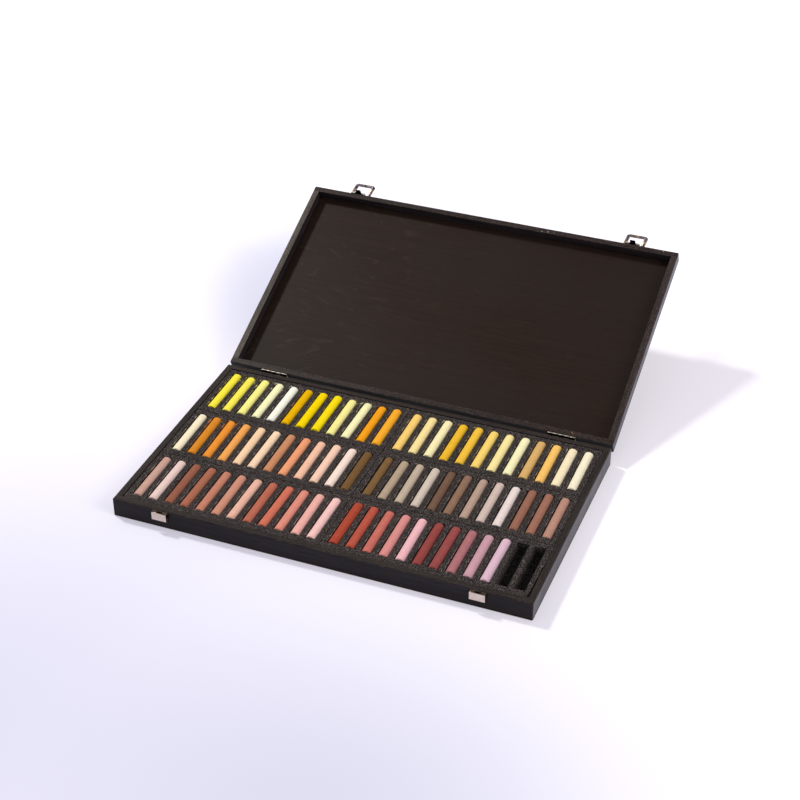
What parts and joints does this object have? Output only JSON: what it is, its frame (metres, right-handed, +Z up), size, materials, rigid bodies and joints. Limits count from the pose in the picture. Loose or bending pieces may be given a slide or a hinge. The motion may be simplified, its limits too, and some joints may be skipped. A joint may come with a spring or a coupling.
{
  "type": "pastel box",
  "caption": "Shallow black wooden box with a hinged lid lying open, toggle latches, and foam trays whose slots hold round pastel sticks.",
  "frame": {"origin": "middle of the flat underside, on the table", "axes": "+X to the right along the hinge line, +Y to the back, where the open lid lies, +Z up"},
  "size_m": [0.44, 0.543, 0.126],
  "materials": {
    "stained_wood": "black stained hardwood, satin",
    "stained_plywood": "black stained plywood, satin",
    "nickel_plate": "nickel plated pressed steel",
    "fasteners": "nickel plated steel",
    "wire": "nickel plated spring wire",
    "foam": "coarse open-cell foam, matte, dusted with pigment",
    "pastel_lemon_yellow": "dry chalky pastel, in several tints",
    "pastel_deep_yellow": "dry chalky pastel, in several tints",
    "pastel_orange": "dry chalky pastel, in several tints",
    "pastel_golden_ochre": "dry chalky pastel, in several tints",
    "pastel_olive_ochre": "dry chalky pastel, in several tints",
    "pastel_burnt_orange": "dry chalky pastel, in several tints",
    "pastel_salmon_brown": "dry chalky pastel, in several tints",
    "pastel_olive_grey": "dry chalky pastel, in several tints",
    "pastel_umber": "dry chalky pastel, in several tints",
    "pastel_red_brown": "dry chalky pastel, in several tints",
    "pastel_sienna_red": "dry chalky pastel, in several tints",
    "pastel_coral_red": "dry chalky pastel, in several tints",
    "pastel_vermilion": "dry chalky pastel, in several tints",
    "pastel_mauve": "dry chalky pastel, in several tints"
  },
  "bodies": {
    "base": {"base_front_wall": "stained_wood", "base_back_wall": "stained_wood", "base_left_wall": "stained_wood", "base_right_wall": "stained_wood", "base_panel": "stained_plywood", "base_hinge_leaf_left": "nickel_plate", "base_hinge_leaf_right": "nickel_plate", "hinge_pin_left": "fasteners", "hinge_pin_right": "fasteners", "base_hinge_screws": "fasteners", "latch_keeper_left": "nickel_plate", "latch_keeper_right": "nickel_plate", "keeper_nails": "fasteners"},
    "lid": {"lid_front_wall": "stained_wood", "lid_back_wall": "stained_wood", "lid_left_wall": "stained_wood", "lid_right_wall": "stained_wood", "lid_panel": "stained_plywood", "lid_hinge_leaf_left": "nickel_plate", "lid_hinge_leaf_right": "nickel_plate", "lid_hinge_screws": "fasteners", "latch_plate_left": "nickel_plate", "latch_plate_right": "nickel_plate", "latch_pin_left": "fasteners", "latch_pin_right": "fasteners", "latch_nails": "fasteners"},
    "lever_left": {"latch_lever_left": "nickel_plate"},
    "bail_left": {"latch_bail_left": "wire"},
    "lever_right": {"latch_lever_right": "nickel_plate"},
    "bail_right": {"latch_bail_right": "wire"},
    "tray_back_left": {"foam_tray_back_left": "foam"},
    "sticks_back_left": {"sticks_lemon_yellow_back_left": "pastel_lemon_yellow", "sticks_deep_yellow_back_left": "pastel_deep_yellow", "sticks_orange_back_left": "pastel_orange"},
    "tray_back_right": {"foam_tray_back_right": "foam"},
    "sticks_back_right": {"sticks_orange_back_right": "pastel_orange", "sticks_golden_ochre_back_right": "pastel_golden_ochre", "sticks_olive_ochre_back_right": "pastel_olive_ochre"},
    "tray_middle_left": {"foam_tray_middle_left": "foam"},
    "sticks_middle_left": {"sticks_olive_ochre_middle_left": "pastel_olive_ochre", "sticks_burnt_orange_middle_left": "pastel_burnt_orange", "sticks_salmon_brown_middle_left": "pastel_salmon_brown", "sticks_olive_grey_middle_left": "pastel_olive_grey"},
    "tray_middle_right": {"foam_tray_middle_right": "foam"},
    "sticks_middle_right": {"sticks_olive_grey_middle_right": "pastel_olive_grey", "sticks_umber_middle_right": "pastel_umber", "sticks_red_brown_middle_right": "pastel_red_brown"},
    "tray_front_left": {"foam_tray_front_left": "foam"},
    "sticks_front_left": {"sticks_red_brown_front_left": "pastel_red_brown", "sticks_sienna_red_front_left": "pastel_sienna_red", "sticks_coral_red_front_left": "pastel_coral_red"},
    "tray_front_right": {"foam_tray_front_right": "foam"},
    "sticks_front_right": {"sticks_vermilion_front_right": "pastel_vermilion", "sticks_mauve_front_right": "pastel_mauve"}
  },
  "joints": [
    {"name": "lid_hinge", "type": "hinge", "parent": "base", "child": "lid", "pos_m": [0, 0.13415, 0.02115], "axis": [-1, 0, 0], "range_deg": [-157.7, 0]},
    {"name": "lever_left_pivot", "type": "hinge", "parent": "lid", "child": "lever_left", "pos_m": [-0.1663, 0.38394, 0.12073], "axis": [1, 0, 0], "range_deg": [0, 110]},
    {"name": "bail_left_pivot", "type": "hinge", "parent": "lever_left", "child": "bail_left", "pos_m": [-0.1663, 0.38618, 0.11528], "axis": [-1, 0, 0], "range_deg": [-96.6, 74]},
    {"name": "lever_right_pivot", "type": "hinge", "parent": "lid", "child": "lever_right", "pos_m": [0.1663, 0.38394, 0.12073], "axis": [1, 0, 0], "range_deg": [0, 110]},
    {"name": "bail_right_pivot", "type": "hinge", "parent": "lever_right", "child": "bail_right", "pos_m": [0.1663, 0.38618, 0.11528], "axis": [-1, 0, 0], "range_deg": [-101.1, 69.5]},
    {"name": "lift_tray_back_left", "type": "slide", "parent": "base", "child": "tray_back_left", "axis": [0, 0, 1], "range_m": [0, 0.06]},
    {"name": "lift_sticks_back_left", "type": "slide", "parent": "tray_back_left", "child": "sticks_back_left", "axis": [0, 0, 1], "range_m": [0, 0.03]},
    {"name": "lift_tray_back_right", "type": "slide", "parent": "base", "child": "tray_back_right", "axis": [0, 0, 1], "range_m": [0, 0.06]},
    {"name": "lift_sticks_back_right", "type": "slide", "parent": "tray_back_right", "child": "sticks_back_right", "axis": [0, 0, 1], "range_m": [0, 0.03]},
    {"name": "lift_tray_middle_left", "type": "slide", "parent": "base", "child": "tray_middle_left", "axis": [0, 0, 1], "range_m": [0, 0.06]},
    {"name": "lift_sticks_middle_left", "type": "slide", "parent": "tray_middle_left", "child": "sticks_middle_left", "axis": [0, 0, 1], "range_m": [0, 0.03]},
    {"name": "lift_tray_middle_right", "type": "slide", "parent": "base", "child": "tray_middle_right", "axis": [0, 0, 1], "range_m": [0, 0.06]},
    {"name": "lift_sticks_middle_right", "type": "slide", "parent": "tray_middle_right", "child": "sticks_middle_right", "axis": [0, 0, 1], "range_m": [0, 0.03]},
    {"name": "lift_tray_front_left", "type": "slide", "parent": "base", "child": "tray_front_left", "axis": [0, 0, 1], "range_m": [0, 0.06]},
    {"name": "lift_sticks_front_left", "type": "slide", "parent": "tray_front_left", "child": "sticks_front_left", "axis": [0, 0, 1], "range_m": [0, 0.03]},
    {"name": "lift_tray_front_right", "type": "slide", "parent": "base", "child": "tray_front_right", "axis": [0, 0, 1], "range_m": [0, 0.06]},
    {"name": "lift_sticks_front_right", "type": "slide", "parent": "tray_front_right", "child": "sticks_front_right", "axis": [0, 0, 1], "range_m": [0, 0.03]}
  ]
}
